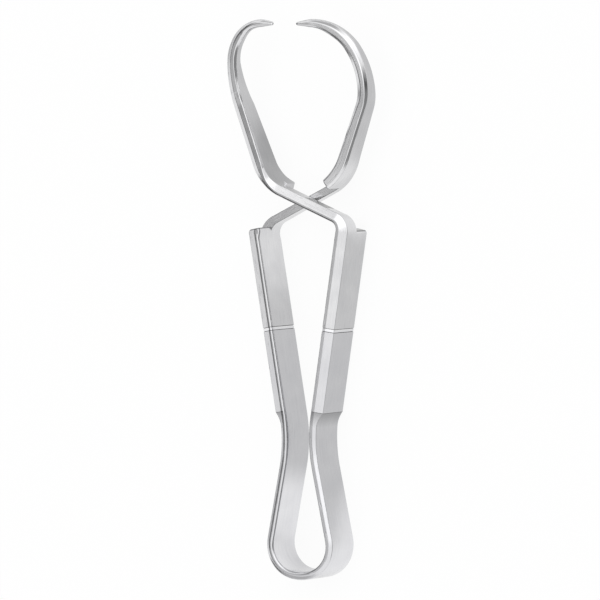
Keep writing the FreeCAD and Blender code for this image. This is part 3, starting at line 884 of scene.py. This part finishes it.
# Half its side and its drop below the clamp in metres, then how bright the camera sees it
# and the share of that in the mix with plain paper.
HALF_FLOOR = 1.5
FLOOR_DROP = 0.00002
SHEET_LEVEL = 1.02
SHEET_SHARE = 0.9
floor_mesh = bpy.data.meshes.new("floor")
floor_mesh.from_pydata(
    [(-HALF_FLOOR, -HALF_FLOOR, 0), (HALF_FLOOR, -HALF_FLOOR, 0),
     (HALF_FLOOR, HALF_FLOOR, 0), (-HALF_FLOOR, HALF_FLOOR, 0)], [], [(0, 1, 2, 3)])
floor = bpy.data.objects.new("floor", floor_mesh)
bpy.context.scene.collection.objects.link(floor)
floor.location.z = -FLOOR_DROP
material, tree = new_material("white_sheet")
path_kind = node(tree, "ShaderNodeLightPath")
place = node(tree, "ShaderNodeTexCoord").outputs["Object"]
seen_by_steel = 1.0
for centre, middle, rim, patch_level in FLOOR_PATCHES:
    away = node(tree, "ShaderNodeVectorMath", {
        0: place, 1: Vector(centre).to_3d() * METRE}, operation="DISTANCE").outputs["Value"]
    patch = node(tree, "ShaderNodeMapRange", {
        "Value": away, "From Min": middle * METRE, "From Max": rim * METRE,
        "To Min": patch_level, "To Max": 1.0}, interpolation_type="SMOOTHSTEP").outputs[0]
    seen_by_steel = node(tree, "ShaderNodeMath", {
        0: seen_by_steel, 1: patch}, operation="MULTIPLY").outputs[0]
reflected = node(tree, "ShaderNodeEmission", {
    "Color": linear("#FFFFFF"), "Strength": seen_by_steel})
paper = node(tree, "ShaderNodeBsdfDiffuse", {"Color": linear("#FAFAFA")})
glow = node(tree, "ShaderNodeEmission", {"Color": linear("#FFFFFF"), "Strength": SHEET_LEVEL})
sheet = node(tree, "ShaderNodeMixShader", {
    0: SHEET_SHARE, 1: paper.outputs[0], 2: glow.outputs[0]})
shown = node(tree, "ShaderNodeMixShader", {
    0: path_kind.outputs["Is Camera Ray"], 1: paper.outputs[0], 2: sheet.outputs[0]})
all_seen = node(tree, "ShaderNodeMixShader", {
    0: path_kind.outputs["Is Glossy Ray"], 1: shown.outputs[0], 2: reflected.outputs[0]})
node(tree, "ShaderNodeOutputMaterial", {"Surface": all_seen.outputs[0]})
floor_mesh.materials.append(material)

# World: a white tent, brightest overhead, with the dark gaps that give ground steel its
# lines. Each patch: direction, degrees to the edge of its middle and of its rim, level.
TENT_PATCHES = [
    ((0.0, 0.35, 0.94), 12.0, 26.0, 1.45),
    ((0.515, 0.044, 0.856), 7.0, 16.0, 0.3),
    ((-0.73, 0.05, 0.68), 11.0, 22.0, 0.2),
    ((-0.80, 0.38, 0.46), 8.0, 18.0, 0.1),
    ((-0.27, 0.75, 0.60), 8.0, 20.0, 0.5),
    ((0.80, -0.15, 0.55), 20.0, 31.0, 0.28),
    ((-0.825, -0.458, 0.33), 9.0, 16.0, 0.1),
    ((-0.55, -0.50, 0.68), 8.0, 20.0, 0.55),
]
# The horizon's dark band: height of its middle and of its rim, and its level.
HORIZON_MIDDLE = 0.04
HORIZON_RIM = 0.18
HORIZON_LEVEL = 0.15
world = bpy.data.worlds.new("tent")
bpy.context.scene.world = world
world.use_nodes = True
tree = world.node_tree
tree.nodes.clear()
around = node(tree, "ShaderNodeTexCoord").outputs["Generated"]
height = node(tree, "ShaderNodeSeparateXYZ", {0: around}).outputs["Z"]
from_level = node(tree, "ShaderNodeMath", {0: height}, operation="ABSOLUTE").outputs[0]
brightness = node(tree, "ShaderNodeMapRange", {
    "Value": from_level, "From Min": HORIZON_MIDDLE, "From Max": HORIZON_RIM,
    "To Min": HORIZON_LEVEL, "To Max": 1.0}, interpolation_type="SMOOTHSTEP").outputs[0]
for direction, middle, rim, patch_level in TENT_PATCHES:
    toward = node(tree, "ShaderNodeVectorMath", {
        0: around, 1: Vector(direction).normalized()}, operation="DOT_PRODUCT").outputs["Value"]
    patch = node(tree, "ShaderNodeMapRange", {
        "Value": toward, "From Min": math.cos(math.radians(rim)),
        "From Max": math.cos(math.radians(middle)), "To Min": 1.0, "To Max": patch_level},
        interpolation_type="SMOOTHSTEP").outputs[0]
    brightness = node(tree, "ShaderNodeMath", {0: brightness, 1: patch},
                      operation="MULTIPLY").outputs[0]
path_kind = node(tree, "ShaderNodeLightPath")
shown_level = node(tree, "ShaderNodeMix", {
    0: path_kind.outputs["Is Camera Ray"], 2: brightness, 3: 1.0}, data_type="FLOAT").outputs[0]
tent = node(tree, "ShaderNodeBackground", {"Color": linear("#FFFFFF"), "Strength": shown_level})
node(tree, "ShaderNodeOutputWorld", {"Surface": tent.outputs[0]})

# Camera: long lens, 59 degrees above the floor, from the right.
CAMERA_SIDE = math.radians(31.0)
CAMERA_TILT = math.radians(2.5)
CAMERA_ROLL = math.radians(0.5)
PIXELS_PER_MM = 6.24
IMAGE = 600
TARGET_X = 296.93
TARGET_Y = 300.18
CAMERA_DISTANCE = 1200.0
SENSOR = 36.0
back = Vector((math.sin(CAMERA_SIDE) * math.cos(CAMERA_TILT), math.sin(CAMERA_TILT),
               math.cos(CAMERA_SIDE) * math.cos(CAMERA_TILT)))
level = Vector((math.cos(CAMERA_SIDE), 0, -math.sin(CAMERA_SIDE)))
upright = back.cross(level)
right = level * math.cos(CAMERA_ROLL) - upright * math.sin(CAMERA_ROLL)
up = upright * math.cos(CAMERA_ROLL) + level * math.sin(CAMERA_ROLL)
centre = (Vector((0, 0, WIDTH)) + right * ((IMAGE / 2 - TARGET_X) / PIXELS_PER_MM)
          - up * ((IMAGE / 2 - TARGET_Y) / PIXELS_PER_MM))
camera_data = bpy.data.cameras.new("camera")
camera_data.sensor_width = SENSOR
camera_data.lens = SENSOR * CAMERA_DISTANCE / (IMAGE / PIXELS_PER_MM)
camera_data.clip_start = 0.05
camera_data.clip_end = 20.0
camera = bpy.data.objects.new("camera", camera_data)
bpy.context.scene.collection.objects.link(camera)
turn = Matrix((right, up, back)).transposed().to_4x4()
camera.matrix_world = Matrix.Translation((centre + back * CAMERA_DISTANCE) * METRE) @ turn
bpy.context.scene.camera = camera
bpy.context.scene.view_settings.view_transform = "Standard"

bpy.context.view_layer.update()
